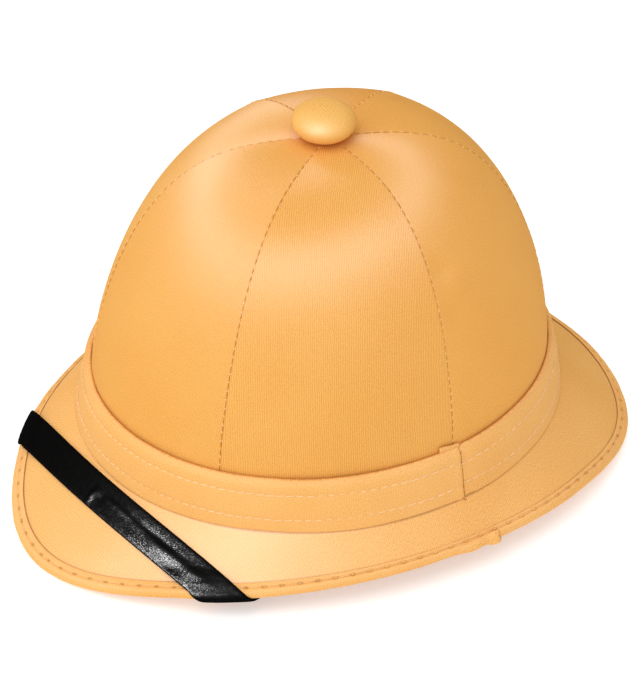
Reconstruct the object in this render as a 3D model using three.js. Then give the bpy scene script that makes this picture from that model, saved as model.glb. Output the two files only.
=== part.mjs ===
// A cloth sun helmet: a hollow dome of six sewn gores, a covered button on top, a flared band
// round its foot, a sloping brim with a bound edge, and a black strap over the front.
//
// Millimetres, +Z up. The wearer faces -Y and has +X on the left. Angles run round the hat from
// the front (0) towards the wearer's left (90) and the back (180). Heights are measured from the
// band ring, the oval along which the band's lower edge meets the brim, until the finished hat
// is set down on the floor at the end of the file.

import * as THREE from 'three';

// Gap kept between pieces that touch on the real hat
const GAP = 0.35;

// Band ring: half width and half length
const RING = { halfWidth: 96.5, halfLength: 109.5 };

// Cloth band
const BAND_HEIGHT = 24;
const BAND_THICKNESS = 1.6;
const BAND_TOP = { halfWidth: 90.4, halfLength: 103.9 };
const BAND_JOIN_ANGLE = 92;

// Folded end of the band, peeping out above the join
const TAB_WIDTH_ANGLE = 5;
const TAB_THICKNESS = 0.6;
const TAB_DEPTH = 10;
const TAB_PEEP = 2.4;

// Dome: its outer oval level with the band's top, its rise above that, and the two exponents of
// its profile, radius^DOME_SQUARENESS + height^DOME_FULLNESS = 1
const DOME = { halfWidth: 88.8, halfLength: 102.3, rise: 107.7 };
const DOME_SQUARENESS = 3.46;
const DOME_FULLNESS = 1.51;
const CROWN_WALL = 2.4;
const CROWN_FOOT_FLARE = 2.7;
const GORE_COUNT = 6;
const GORE_FLATNESS = 0.22;
const GORE_TIP_RADIUS = 0.05;

// Covered button
const BUTTON_RADIUS = 13.5;
const BUTTON_HEIGHT = 15.2;
const SHANK_RADIUS = 4;
const SHANK_LENGTH = 4;

// Brim: how far its edge reaches out from the band ring, and drops below it, every 30 degrees
// from the front to the back
const BRIM_ROWS = [
  { angle: 0, reach: 38.3, drop: 28.9 },
  { angle: 30, reach: 24.0, drop: 21.5 },
  { angle: 60, reach: 13.0, drop: 18.7 },
  { angle: 90, reach: 11.7, drop: 17.6 },
  { angle: 120, reach: 20.1, drop: 19.4 },
  { angle: 150, reach: 31.7, drop: 28.3 },
  { angle: 180, reach: 33.1, drop: 28.7 },
];
const BRIM_THICKNESS = 2;
const BRIM_ROOT_INSET = 4.15;
const BRIM_EDGE_INSET = 2.4;

// Tape folded round the brim's edge
const BINDING_WIDTH = 7;
const BINDING_THICKNESS = 1;
const BINDING_FOLD_INSET = 2;
const BINDING_REST_FLAT = 0.75;

// Strap over the front of the brim: its middle line seen from above is a shallow parabola
const STRAP_FRONT_Y = -116.3;
const STRAP_SWEEP_BACK = 0.0025;
const STRAP_PLAN_WIDTH = 11.6;
const STRAP_THICKNESS = 1;
const STRAP_LIFT = 0.5;
const STRAP_TAIL = 18;
const STRAP_TAIL_SIDESTEP = 1.0;

// Facets
const RING_STEPS = 72;
const GORE_STEPS_ACROSS = 8;
const GORE_STEPS_UP = 11;
const FOOT_STEPS = 2;
const BRIM_STEPS_OUT = 3;
const FOLD_STEPS = 4;
const BUTTON_STEPS = 32;
const BUTTON_DOME_STEPS = 10;
const STRAP_STEPS_TOP = 28;
const STRAP_STEPS_WRAP = 6;
const STRAP_STEPS_TAIL = 4;
const STRAP_STEPS_ACROSS = 2;
const TAB_STEPS = 3;

const CLOTH = { color: 0xf0b873, roughness: 0.62, metalness: 0 };
const PALE_CLOTH = { color: 0xf6c78a, roughness: 0.6, metalness: 0 };
const BLACK_LEATHER = { color: 0x120d0a, roughness: 0.42, metalness: 0 };

const radians = THREE.MathUtils.degToRad;

// A point of an upright oval at an angle round the hat
function ovalPoint(oval, angle, height) {
  const turn = radians(angle);
  return new THREE.Vector3(oval.halfWidth * Math.sin(turn), -oval.halfLength * Math.cos(turn), height);
}

function grownOval(oval, amount) {
  return { halfWidth: oval.halfWidth + amount, halfLength: oval.halfLength + amount };
}

function mixedOval(low, high, share) {
  return {
    halfWidth: THREE.MathUtils.lerp(low.halfWidth, high.halfWidth, share),
    halfLength: THREE.MathUtils.lerp(low.halfLength, high.halfLength, share),
  };
}

// Outward level direction of the band ring at an angle
function ringNormal(angle) {
  const turn = radians(angle);
  const outward = new THREE.Vector3(Math.sin(turn) / RING.halfWidth, -Math.cos(turn) / RING.halfLength, 0);
  return outward.normalize();
}

// A column of the brim table at any angle: a smooth curve through its rows, alike on both sides
function brimValue(column, angle) {
  const spacing = BRIM_ROWS[1].angle - BRIM_ROWS[0].angle;
  const last = BRIM_ROWS.length - 1;
  const place = Math.abs(THREE.MathUtils.euclideanModulo(angle + 180, 360) - 180) / spacing;
  const row = Math.min(Math.floor(place), last - 1);
  const share = place - row;
  const value = (index) => BRIM_ROWS[last - Math.abs(last - Math.abs(index))][column];
  const [before, here, next, after] = [value(row - 1), value(row), value(row + 1), value(row + 2)];
  const bend = 2 * before - 5 * here + 4 * next - after;
  const twist = 3 * here - before - 3 * next + after;
  return here + 0.5 * share * (next - before + share * (bend + share * twist));
}

// The brim's slope at an angle, and its width measured down that slope
function brimSlope(angle) {
  const reach = brimValue('reach', angle);
  const drop = brimValue('drop', angle);
  const width = Math.hypot(reach, drop);
  return { width, cos: reach / width, sin: drop / width };
}

// A point on the brim: so far down its slope from the band ring, and so far above its top face
function brimPoint(angle, down, above) {
  const slope = brimSlope(angle);
  const out = down * slope.cos + above * slope.sin;
  const point = ovalPoint(RING, angle, above * slope.cos - down * slope.sin);
  return point.addScaledVector(ringNormal(angle), out);
}

// Height of the brim's top face, raised by a lift square to it, at a level distance from the ring
function brimHeight(angle, out, lift) {
  const slope = brimSlope(angle);
  return (lift - out * slope.sin) / slope.cos;
}

// A closed skin through equal loops of points. A ring joins its last loop to its first. Otherwise
// both ends are closed by strips, so a loop runs along one face and back along the other.
function loft(loops, isRing) {
  const size = loops[0].length;
  const index = [];
  const quad = (a, b, c, d) => index.push(a, b, c, a, c, d);
  const spans = isRing ? loops.length : loops.length - 1;
  for (let span = 0; span < spans; span++) {
    const here = span * size;
    const next = ((span + 1) % loops.length) * size;
    for (let side = 0; side < size; side++) {
      const after = (side + 1) % size;
      quad(here + side, here + after, next + after, next + side);
    }
  }
  if (!isRing) {
    const end = (loops.length - 1) * size;
    for (let side = 0; side < size / 2 - 1; side++) {
      const across = size - 1 - side;
      quad(side, across, across - 1, side + 1);
      quad(end + side, end + side + 1, end + across - 1, end + across);
    }
  }
  const geometry = new THREE.BufferGeometry().setFromPoints(loops.flat());
  geometry.setIndex(signedVolume(loops.flat(), index) < 0 ? index.reverse() : index);
  geometry.computeVertexNormals();
  return geometry;
}

function signedVolume(points, index) {
  const cross = new THREE.Vector3();
  let volume = 0;
  for (let corner = 0; corner < index.length; corner += 3) {
    cross.crossVectors(points[index[corner + 1]], points[index[corner + 2]]);
    volume += points[index[corner]].dot(cross) / 6;
  }
  return volume;
}

// Evenly spaced values from first to last
function spread(first, last, steps) {
  const value = (unused, step) => THREE.MathUtils.lerp(first, last, step / steps);
  return Array.from({ length: steps + 1 }, value);
}

function namedMesh(name, geometry, look) {
  const mesh = new THREE.Mesh(geometry, new THREE.MeshStandardMaterial(look));
  mesh.name = name;
  return mesh;
}

// The dome narrows by this share between seams, more so towards its top, where gores lie flatter
function goreFlattening(angle, heightShare) {
  const half = 180 / GORE_COUNT;
  const fromMiddle = THREE.MathUtils.euclideanModulo(angle + half, 2 * half) - half;
  const flat = Math.cos(radians(half)) / Math.cos(radians(fromMiddle));
  return 1 - GORE_FLATNESS * heightShare * (1 - flat);
}

// A point on the dome, inset from its outer face, at an angle and a turn up its profile: 0 at the
// band's top and 1 at the crown's middle
function domePoint(angle, climb, inset) {
  const turn = radians(90 * climb);
  const heightShare = Math.sin(turn) ** (2 / DOME_FULLNESS);
  const radiusShare = Math.cos(turn) ** (2 / DOME_SQUARENESS) * goreFlattening(angle, heightShare);
  const oval = grownOval(DOME, -inset);
  const point = ovalPoint(oval, angle, 0).multiplyScalar(radiusShare);
  point.z = BAND_HEIGHT + (DOME.rise - inset) * heightShare;
  return point;
}

// A point on the crown's foot, the flared wall behind the band: share 0 at its lower edge
function footPoint(angle, share, inset) {
  const oval = grownOval(DOME, CROWN_FOOT_FLARE * (1 - share) - inset);
  return ovalPoint(oval, angle, BAND_HEIGHT * share);
}

// The climb at which the dome has shrunk to the open ring under the button
function tipClimb() {
  return THREE.MathUtils.radToDeg(Math.acos(GORE_TIP_RADIUS ** (DOME_SQUARENESS / 2))) / 90;
}

// One gore: a curved panel between two seams, with half the gap left at each seam
function goreGeometry(middleAngle) {
  const half = 180 / GORE_COUNT;
  const footShares = spread(0, 1, FOOT_STEPS).slice(0, -1);
  const climbs = spread(0, tipClimb(), GORE_STEPS_UP);
  const rows = [
    ...footShares.map((share) => (angle, inset) => footPoint(angle, share, inset)),
    ...climbs.map((climb) => (angle, inset) => domePoint(angle, climb, inset)),
  ];
  const loops = rows.map((pointAt) => {
    const seamPoint = pointAt(middleAngle - half, CROWN_WALL);
    const seamGap = THREE.MathUtils.radToDeg(GAP / 2 / Math.hypot(seamPoint.x, seamPoint.y));
    const angles = spread(middleAngle - half + seamGap, middleAngle + half - seamGap, GORE_STEPS_ACROSS);
    const outer = angles.map((angle) => pointAt(angle, 0));
    const inner = angles.map((angle) => pointAt(angle, CROWN_WALL));
    return [...outer, ...inner.reverse()];
  });
  return loft(loops, false);
}

// The covered button: a flattened ball on a shank that passes down between the gore tips
function buttonGeometry() {
  const halfHeight = BUTTON_HEIGHT / 2;
  const startTurn = -Math.acos(SHANK_RADIUS / BUTTON_RADIUS);
  const ball = new THREE.EllipseCurve(0, halfHeight, BUTTON_RADIUS, halfHeight, startTurn, Math.PI / 2);
  const profile = [
    new THREE.Vector2(0, -SHANK_LENGTH),
    new THREE.Vector2(SHANK_RADIUS, -SHANK_LENGTH),
    ...ball.getPoints(BUTTON_DOME_STEPS),
  ];
  profile[profile.length - 1].x = 0;
  const geometry = new THREE.LatheGeometry(profile, BUTTON_STEPS).rotateX(Math.PI / 2);
  return geometry.translate(0, 0, BAND_HEIGHT + DOME.rise + GAP);
}

// The band's outer face at an angle and a share of its height, moved inwards by an inset
function bandPoint(angle, share, inset) {
  const oval = grownOval(mixedOval(RING, grownOval(BAND_TOP, BAND_THICKNESS), share), -inset);
  const foot = brimHeight(angle, -inset, GAP);
  return ovalPoint(oval, angle, THREE.MathUtils.lerp(foot, BAND_HEIGHT, share));
}

// The band is one strip bent round the crown, its two ends meeting at the join
function bandGeometry() {
  const shares = [0, 0.5, 1];
  const gapAngle = THREE.MathUtils.radToDeg(GAP / 2 / RING.halfWidth);
  const angles = spread(BAND_JOIN_ANGLE + gapAngle, BAND_JOIN_ANGLE + 360 - gapAngle, RING_STEPS);
  const loops = angles.map((angle) => {
    const outer = shares.map((share) => bandPoint(angle, share, 0));
    const inner = shares.map((share) => bandPoint(angle, share, BAND_THICKNESS));
    return [...outer, ...inner.reverse()];
  });
  return loft(loops, false);
}

// The band's folded end, between the band and the crown
function tabGeometry() {
  const near = BAND_THICKNESS + GAP;
  const shares = [1 - TAB_DEPTH / BAND_HEIGHT, 1, 1 + TAB_PEEP / BAND_HEIGHT];
  const angles = spread(BAND_JOIN_ANGLE - TAB_WIDTH_ANGLE, BAND_JOIN_ANGLE + 1, TAB_STEPS);
  const loops = angles.map((angle) => {
    const outer = shares.map((share) => bandPoint(angle, share, near));
    const inner = shares.map((share) => bandPoint(angle, share, near + TAB_THICKNESS));
    return [...outer, ...inner.reverse()];
  });
  return loft(loops, false);
}

// The brim, from its upright inner edge against the crown to its edge inside the binding
function brimGeometry() {
  const loops = spread(0, 360, RING_STEPS).slice(0, -1).map((angle) => {
    const slope = brimSlope(angle);
    const face = (above) => {
      const root = (-BRIM_ROOT_INSET - above * slope.sin) / slope.cos;
      const downs = spread(root, slope.width - BRIM_EDGE_INSET, BRIM_STEPS_OUT);
      return downs.map((down) => brimPoint(angle, down, above));
    };
    return [...face(0), ...face(-BRIM_THICKNESS).reverse()];
  });
  return loft(loops, true);
}

// Half the thickness of the bound edge, measured from the middle of the brim's cloth
const RIM_RADIUS = BRIM_THICKNESS / 2 + GAP + BINDING_THICKNESS;

// The binding: a tape folded over the edge, with its lowest stretches flattened by the floor
function bindingGeometry() {
  const middle = -BRIM_THICKNESS / 2;
  const inside = RIM_RADIUS - BINDING_THICKNESS;
  const loops = spread(0, 360, RING_STEPS).slice(0, -1).map((angle) => {
    const width = brimSlope(angle).width;
    const fold = spread(Math.PI / 2, -Math.PI / 2, FOLD_STEPS).map((turn) => [
      width - RIM_RADIUS + RIM_RADIUS * Math.cos(turn),
      middle + RIM_RADIUS * Math.sin(turn),
    ]);
    const outline = [
      [width - BINDING_WIDTH, middle + RIM_RADIUS],
      ...fold,
      [width - BINDING_WIDTH, middle - RIM_RADIUS],
      [width - BINDING_WIDTH, middle - inside],
      [width - BINDING_FOLD_INSET, middle - inside],
      [width - BINDING_FOLD_INSET, middle + inside],
      [width - BINDING_WIDTH, middle + inside],
    ];
    return outline.map(([down, above]) => brimPoint(angle, down, above));
  });
  const floor = Math.min(...loops.flat().map((point) => point.z)) + BINDING_REST_FLAT;
  for (const point of loops.flat()) {
    point.z = Math.max(point.z, floor);
  }
  return loft(loops, true);
}

// The angle round the hat, and the level distance out from the band ring, of a point seen from above
function ringPlace(x, y) {
  const tries = 24;
  let turn = Math.atan2(x / RING.halfWidth, -y / RING.halfLength);
  for (let step = 0; step < tries; step++) {
    const [sin, cos] = [Math.sin(turn), Math.cos(turn)];
    const along = new THREE.Vector2(RING.halfWidth * cos, RING.halfLength * sin);
    const offset = new THREE.Vector2(x - RING.halfWidth * sin, y + RING.halfLength * cos);
    turn += offset.dot(along) / along.lengthSq();
  }
  const angle = THREE.MathUtils.radToDeg(turn);
  const offset = new THREE.Vector3(x, y, 0).sub(ovalPoint(RING, angle, 0));
  return { angle, out: offset.dot(ringNormal(angle)) };
}

// Where a point of the strap lies on the brim's top: along is its sideways place, and across its
// share of the strap's width, -0.5 at the band to 0.5 at the front
function strapTopPlace(along, across) {
  const y = STRAP_FRONT_Y + STRAP_SWEEP_BACK * along * along;
  const lean = new THREE.Vector2(2 * STRAP_SWEEP_BACK * along, -1).normalize();
  const aside = across * STRAP_PLAN_WIDTH;
  const place = ringPlace(along + lean.x * aside, y + lean.y * aside);
  const slope = brimSlope(place.angle);
  return { angle: place.angle, down: place.out / slope.cos, width: slope.width };
}

// The sideways place at which a strap edge reaches the straight part of the bound edge
function strapReach(across) {
  let [inside, outside] = [0, RING.halfWidth];
  const halvings = 30;
  for (let step = 0; step < halvings; step++) {
    const middle = (inside + outside) / 2;
    const place = strapTopPlace(middle, across);
    if (place.down < place.width - RIM_RADIUS) {
      inside = middle;
    } else {
      outside = middle;
    }
  }
  return inside;
}

// One lengthwise line of the strap's under face, from the middle of the front to its hidden end:
// places on the brim as an angle, a distance down the slope and a height above the top face, with
// the direction square to the strap there
function strapHalfLine(across) {
  const reach = strapReach(across);
  const edge = strapTopPlace(reach, across);
  const bow = RIM_RADIUS + STRAP_LIFT;
  const middle = -BRIM_THICKNESS / 2;
  const sidestep = (travel) => {
    const turn = (STRAP_TAIL_SIDESTEP * travel) / RING.halfLength;
    return edge.angle + THREE.MathUtils.radToDeg(turn);
  };
  const line = spread(0, reach, STRAP_STEPS_TOP / 2).map((along) => {
    const place = strapTopPlace(along, across);
    const bindingStart = place.width - BINDING_WIDTH;
    const rise = THREE.MathUtils.smoothstep(place.down, bindingStart - BINDING_WIDTH, bindingStart);
    const above = THREE.MathUtils.lerp(STRAP_LIFT, middle + bow, rise);
    return { angle: place.angle, down: place.down, above, facing: [0, 1] };
  });
  for (const turn of spread(0, Math.PI, STRAP_STEPS_WRAP).slice(1)) {
    const angle = sidestep(turn * bow);
    const centre = brimSlope(angle).width - RIM_RADIUS;
    const facing = [Math.sin(turn), Math.cos(turn)];
    line.push({ angle, down: centre + bow * facing[0], above: middle + bow * facing[1], facing });
  }
  for (const travel of spread(0, STRAP_TAIL, STRAP_STEPS_TAIL).slice(1)) {
    const angle = sidestep(Math.PI * bow + travel);
    const centre = brimSlope(angle).width - RIM_RADIUS;
    line.push({ angle, down: centre - travel, above: middle - bow, facing: [0, -1] });
  }
  return line;
}

// The strap: one strip from its hidden right end, over the front, to its hidden left end
function strapGeometry() {
  const lines = spread(-0.5, 0.5, STRAP_STEPS_ACROSS).map(strapHalfLine);
  const loopAt = (station, side) => {
    const face = (thickness) => lines.map((line) => {
      const place = line[station];
      const [outward, upward] = place.facing;
      const down = place.down + thickness * outward;
      return brimPoint(side * place.angle, down, place.above + thickness * upward);
    });
    return [...face(STRAP_THICKNESS), ...face(0).reverse()];
  };
  const stations = lines[0].map((place, station) => station);
  const right = stations.slice(1).reverse().map((station) => loopAt(station, -1));
  const left = stations.map((station) => loopAt(station, 1));
  return loft([...right, ...left], false);
}

function buildHat() {
  const hat = new THREE.Group();
  const goreNames = ['front', 'front_left', 'back_left', 'back', 'back_right', 'front_right'];
  goreNames.forEach((place, number) => {
    const middleAngle = (360 / GORE_COUNT) * number;
    hat.add(namedMesh(`crown_gore_${place}`, goreGeometry(middleAngle), CLOTH));
  });
  hat.add(namedMesh('top_button', buttonGeometry(), PALE_CLOTH));
  hat.add(namedMesh('hat_band', bandGeometry(), PALE_CLOTH));
  hat.add(namedMesh('band_join_tab', tabGeometry(), PALE_CLOTH));
  hat.add(namedMesh('brim', brimGeometry(), CLOTH));
  hat.add(namedMesh('brim_binding', bindingGeometry(), PALE_CLOTH));
  hat.add(namedMesh('front_strap', strapGeometry(), BLACK_LEATHER));
  return hat;
}

// Set the hat down: the floor under the brim's lowest stretches, the origin below its middle
function standOnFloor(hat) {
  const box = new THREE.Box3().setFromObject(hat);
  const middle = box.getCenter(new THREE.Vector3());
  hat.position.set(-middle.x, -middle.y, -box.min.z);
  return hat;
}

export default standOnFloor(buildHat());
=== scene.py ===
"""Looks of a cloth sun helmet: satin gores, covered button, stitched band, bound brim and black strap.

Shapes are worked out in millimetres round the band ring, the oval where the band's lower edge meets
the brim, and are then placed in the frame in metres. Angles run from the front (0) towards the
wearer's left (90) and the back (180).
"""
import math
import random

import bpy
import numpy as np
from mathutils import Matrix, Vector, noise


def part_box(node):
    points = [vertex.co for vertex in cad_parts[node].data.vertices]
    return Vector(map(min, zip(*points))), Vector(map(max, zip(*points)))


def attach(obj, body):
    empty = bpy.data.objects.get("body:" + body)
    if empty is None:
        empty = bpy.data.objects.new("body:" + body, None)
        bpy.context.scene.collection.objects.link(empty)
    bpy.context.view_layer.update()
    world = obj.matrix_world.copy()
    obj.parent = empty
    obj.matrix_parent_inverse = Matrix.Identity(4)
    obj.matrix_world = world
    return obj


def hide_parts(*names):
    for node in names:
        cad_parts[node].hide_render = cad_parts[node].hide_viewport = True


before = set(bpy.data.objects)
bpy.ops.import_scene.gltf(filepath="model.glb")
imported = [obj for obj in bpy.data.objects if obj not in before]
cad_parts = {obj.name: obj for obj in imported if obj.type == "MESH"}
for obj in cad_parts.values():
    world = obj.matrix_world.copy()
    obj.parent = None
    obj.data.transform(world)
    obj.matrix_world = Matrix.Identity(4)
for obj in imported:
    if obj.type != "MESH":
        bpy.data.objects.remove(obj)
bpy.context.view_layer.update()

MM = 0.001
random.seed(7)

# Camera, found from the hat's outline: degrees, millimetres and the photograph's frame in pixels
CAMERA_AZIMUTH = 51.5
CAMERA_ELEVATION = 36.5
CAMERA_ROLL = 2.13
CAMERA_DISTANCE = 2230
CAMERA_AIM = (0.0, -0.3, 20.9)
PIXELS_PER_MM = 2.33
FRAME_HEIGHT = 700
SENSOR = 36

# Main sizes in millimetres, as in the frame
RING = (96.5, 109.5)
BAND_TOP = (90.4, 103.9)
BAND_HEIGHT = 24
BAND_THICKNESS = 1.6
BAND_JOIN_ANGLE = 92
DOME = (88.8, 102.3)
DOME_RISE = 107.7
DOME_SQUARENESS = 3.46
DOME_FULLNESS = 1.51
CROWN_WALL = 2.4
CROWN_FOOT_FLARE = 2.7
GORE_COUNT = 6
GORE_FLATNESS = 0.22
GORE_TIP_RADIUS = 0.05
BUTTON_RADIUS = 13.5
BUTTON_HEIGHT = 15.2
BRIM_REACH = (38.3, 24.0, 13.0, 11.7, 20.1, 31.7, 33.1)
BRIM_DROP = (28.9, 21.5, 18.7, 17.6, 19.4, 28.3, 28.7)
BRIM_THICKNESS = 2
BRIM_ROOT_INSET = 4.15
BINDING_WIDTH = 7
BINDING_THICKNESS = 1
RIM_RADIUS = 2.3
STRAP_FRONT_Y = -116.3
STRAP_SWEEP_BACK = 0.0025
STRAP_PLAN_WIDTH = 11.6
STRAP_WIDTH = 1.25 * STRAP_PLAN_WIDTH
STRAP_THICKNESS = 1.1
STRAP_LIFT = 0.35
STRAP_TAIL = 18

# Mean radius of the band, and the rim's half width at the wearer's left
BAND_RADIUS = 100
RIM_SIDE_RADIUS = 108

# Steps that are fine enough to measure along a curve
FINE_STEPS = 4001

# Stitches: the thread's radius, how far it bulges out and how deep its ends sit, in millimetres
STITCHES = {
    "seam_stitches": {"radius": 0.21, "bulge": 0.06, "sink": 0.12},
    "seam_ticks": {"radius": 0.19, "bulge": 0.12, "sink": 0.06},
    "band_stitches": {"radius": 0.18, "bulge": 0.16, "sink": 0.28},
    "join_stitches": {"radius": 0.22, "bulge": 0.1, "sink": 0.3},
    "binding_stitches": {"radius": 0.17, "bulge": 0.1, "sink": 0.32},
}
THREAD_STATIONS = 7
THREAD_SIDES = 8
THREAD_END = 0.04

# The band ring's height and middle, read from the frame
foot_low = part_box("crown_gore_front")[0]
RING_HEIGHT = foot_low.z / MM
RING_MIDDLE_Y = (foot_low.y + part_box("crown_gore_back")[1].y) / 2 / MM


def placed(points):
    """Points round the band ring, in millimetres, as points of the frame, in metres."""
    return (np.asarray(points, float) + (0, RING_MIDDLE_Y, RING_HEIGHT)) * MM


def smooth(low, high, value):
    share = np.clip((value - low) / (high - low), 0, 1)
    return share * share * (3 - 2 * share)


def bell(value, middle, spread):
    return np.exp(-(((value - middle) / spread) ** 2))


def unit(vectors):
    return vectors / np.maximum(np.linalg.norm(vectors, axis=-1, keepdims=True), 1e-9)


def wander(points, scale, seed):
    """Smooth noise from -1 to 1 at points in millimetres, with features about scale across."""
    flat = np.asarray(points, float).reshape(-1, 3) / scale + seed
    values = np.array([noise.noise(Vector(point)) for point in flat])
    return values.reshape(np.shape(points)[:-1])


def unevenness(points, waves, seed=0):
    """Several waves of smooth noise together, each with its height, its width and its own seed."""
    return sum(height * wander(points, width, seed + own) for height, width, own in waves)


def stray(most):
    """A random amount either way, as hand-guided sewing strays."""
    return random.uniform(-most, most)


def travelled(points):
    """The distance along a line of points to each of them."""
    steps = np.linalg.norm(np.diff(points, axis=0), axis=1)
    return np.concatenate([[0], np.cumsum(steps)])


def grid(rows, columns):
    """Every pair of a row's and a column's value."""
    return np.stack(np.meshgrid(rows, columns, indexing="ij"), -1)


def oval_point(half, angle, height):
    turn = np.radians(angle)
    return np.stack(np.broadcast_arrays(half[0] * np.sin(turn), -half[1] * np.cos(turn), height), -1)


def ring_normal(angle):
    turn = np.radians(angle)
    outward = np.stack([np.sin(turn) / RING[0], -np.cos(turn) / RING[1], 0 * turn], -1)
    return unit(outward)


def round_table(rows, angle):
    """A table from the front to the back at any angle: a smooth curve, alike on both sides."""
    rows = np.asarray(rows)
    last = len(rows) - 1
    place = np.abs((np.asarray(angle, float) + 180) % 360 - 180) * last / 180
    row = np.minimum(np.floor(place).astype(int), last - 1)
    share = place - row
    before, here, after, beyond = (rows[last - np.abs(last - np.abs(row + step))] for step in (-1, 0, 1, 2))
    bend = 2 * before - 5 * here + 4 * after - beyond
    twist = 3 * here - before - 3 * after + beyond
    return here + 0.5 * share * (after - before + share * (bend + share * twist))


def brim_slope(angle):
    """The brim's width down its slope at an angle, with the slope's cosine and sine."""
    reach, drop = round_table(BRIM_REACH, angle), round_table(BRIM_DROP, angle)
    width = np.hypot(reach, drop)
    return width, reach / width, drop / width


def brim_point(angle, down, above):
    """So far down the brim's slope from the band ring, and so far above its top face."""
    width, cos, sin = brim_slope(angle)
    point = oval_point(RING, angle, above * cos - down * sin)
    return point + ring_normal(angle) * (down * cos + above * sin)[..., None]


def brim_normal(angle):
    width, cos, sin = brim_slope(angle)
    return ring_normal(angle) * sin[..., None] + np.array((0, 0, 1.0)) * cos[..., None]


def grid_normals(points):
    """Directions square to a grid of points."""
    return unit(np.cross(np.gradient(points, axis=1), np.gradient(points, axis=0)))


def make_mesh(name, points, faces, material, weave, painted_shades=None, replaces=()):
    """A smooth-shaded piece of the hat, with weave coordinates in millimetres and marks of painted shade.
    """
    mesh = bpy.data.meshes.new(name)
    mesh.from_pydata(placed(points).tolist(), [], [list(face) for face in faces])
    mesh.polygons.foreach_set("use_smooth", [True] * len(mesh.polygons))
    corners = np.empty(len(mesh.loops), int)
    mesh.loops.foreach_get("vertex_index", corners)
    layer = mesh.uv_layers.new(name="weave")
    layer.data.foreach_set("uv", np.asarray(weave, np.float32)[corners].ravel())
    # The marks are painted shade, kept in the mesh attribute named seam
    if painted_shades is not None:
        layer = mesh.attributes.new("seam", "FLOAT", "POINT")
        layer.data.foreach_set("value", np.asarray(painted_shades, np.float32))
    piece = bpy.data.objects.new(name, mesh)
    bpy.context.scene.collection.objects.link(piece)
    mesh.materials.append(material)
    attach(piece, "root")
    if replaces:
        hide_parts(*replaces)
    return piece


def loft_faces(rows, columns, ring):
    """Quads of closed loops of points, joined into a ring or closed by strips at both ends."""
    row = np.arange(rows if ring else rows - 1)[:, None] * columns
    after = (row + columns) % (rows * columns)
    side = np.arange(columns)[None]
    turn = (side + 1) % columns
    quads = np.stack([row + side, row + turn, after + turn, after + side], -1).reshape(-1, 4)
    if ring:
        return quads
    half = np.arange(columns // 2 - 1)
    across = columns - 1 - half
    end = (rows - 1) * columns
    first = np.stack([half, across, across - 1, half + 1], -1)
    last = end + np.stack([half, half + 1, across - 1, across], -1)
    return np.concatenate([quads, first, last])


def turned_out(points, faces):
    """The faces, turned round if the closed skin they make is inside out."""
    tri = points[faces[:, [0, 1, 2]]]
    tri = np.concatenate([tri, points[faces[:, [0, 2, 3]]]])
    volume = np.einsum("ij,ij->i", tri[:, 0], np.cross(tri[:, 1], tri[:, 2])).sum()
    return faces if volume > 0 else faces[:, ::-1]


def shell(name, outer, inner, ring, material, weave, painted_shade=None, inner_painted_shade=0.0, replaces=()):
    """A closed piece between two equal grids of points, its rows joined into a ring or closed at both
    ends. The painted shade of its outer face shows on its inner face by a share."""
    loops = np.concatenate([outer, inner[:, ::-1]], axis=1)
    rows, columns = loops.shape[:2]
    points = loops.reshape(-1, 3)
    faces = turned_out(points, loft_faces(rows, columns, ring))
    weave = np.concatenate([weave, weave[:, ::-1]], axis=1).reshape(-1, 2)
    if painted_shade is not None:
        painted_shade = np.concatenate([painted_shade, inner_painted_shade * painted_shade[:, ::-1]], axis=1).reshape(-1)
    return make_mesh(name, points, faces, material, weave, painted_shade, replaces)


def threads(name, stitches, material):
    """Short stitches of thread, each with its start, its end and the direction in which it arches."""
    starts, ends, normals = np.swapaxes(stitches, 0, 1)
    stations, sides = THREAD_STATIONS, THREAD_SIDES
    radius, bulge = STITCHES[name]["radius"], STITCHES[name]["bulge"]
    share = np.linspace(0, 1, stations)[None, :, None]
    spine = starts[:, None] * (1 - share) + ends[:, None] * share
    spine = spine + normals[:, None] * bulge * np.sin(np.pi * share)
    aside = unit(np.cross(ends - starts, normals))[:, None, None]
    turn = np.linspace(0, 2 * np.pi, sides, endpoint=False)[None, None, :, None]
    girth = radius * np.sqrt(np.maximum(1 - (2 * share - 1) ** 4, THREAD_END))[..., None]
    ring = normals[:, None, None] * np.cos(turn) + aside * np.sin(turn)
    points = spine[:, :, None] + girth * ring
    one = loft_faces(stations, sides, False)
    faces = (np.arange(len(starts))[:, None, None] * stations * sides + one[None]).reshape(-1, 4)
    points = points.reshape(-1, 3)
    weave = np.zeros((len(points), 2))
    return make_mesh(name, points, turned_out(points, faces), material, weave)


def even_angles(point_at, pitch):
    """Angles whose points along a line round the hat lie about a pitch apart."""
    fine = np.linspace(0, 360, FINE_STEPS)
    length = travelled(point_at(fine))
    count = max(1, round(length[-1] / pitch))
    return np.interp(np.linspace(0, length[-1], count + 1), length, fine)


# Materials

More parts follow.
